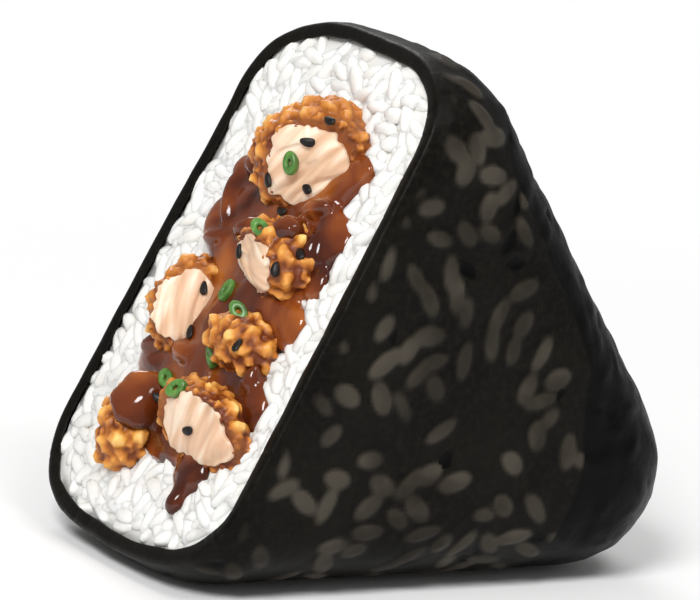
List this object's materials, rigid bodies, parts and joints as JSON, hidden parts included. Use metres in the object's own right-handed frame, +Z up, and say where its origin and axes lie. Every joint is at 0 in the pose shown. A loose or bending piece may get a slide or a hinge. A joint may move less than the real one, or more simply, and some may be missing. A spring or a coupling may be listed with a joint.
{
  "type": "onigiri rice ball",
  "caption": "Triangular rice ball wrapped in dark seaweed, one slanted side cut off to show rice round a filling of sauced fried chicken.",
  "frame": {"origin": "middle of the bounding box on the floor, under the resting side", "axes": "+Z up, +X along the base away from the cut side, -Y out of the front face"},
  "size_m": [0.0846, 0.0552, 0.0784],
  "materials": {
    "nori_sheet": "thin dried seaweed, dull with a faint sheen",
    "cooked_rice": "moist cooked rice grains",
    "brown_sauce": "glossy dark brown glaze",
    "fried_crust": "rough golden fried crust, oily in places"
  },
  "bodies": {
    "root": {"nori": "nori_sheet", "rice": "cooked_rice", "sauce": "brown_sauce", "chicken_top": "fried_crust", "chicken_right": "fried_crust", "chicken_left": "fried_crust", "chicken_middle": "fried_crust", "chicken_low": "fried_crust", "chicken_bottom": "fried_crust"}
  },
  "joints": []
}
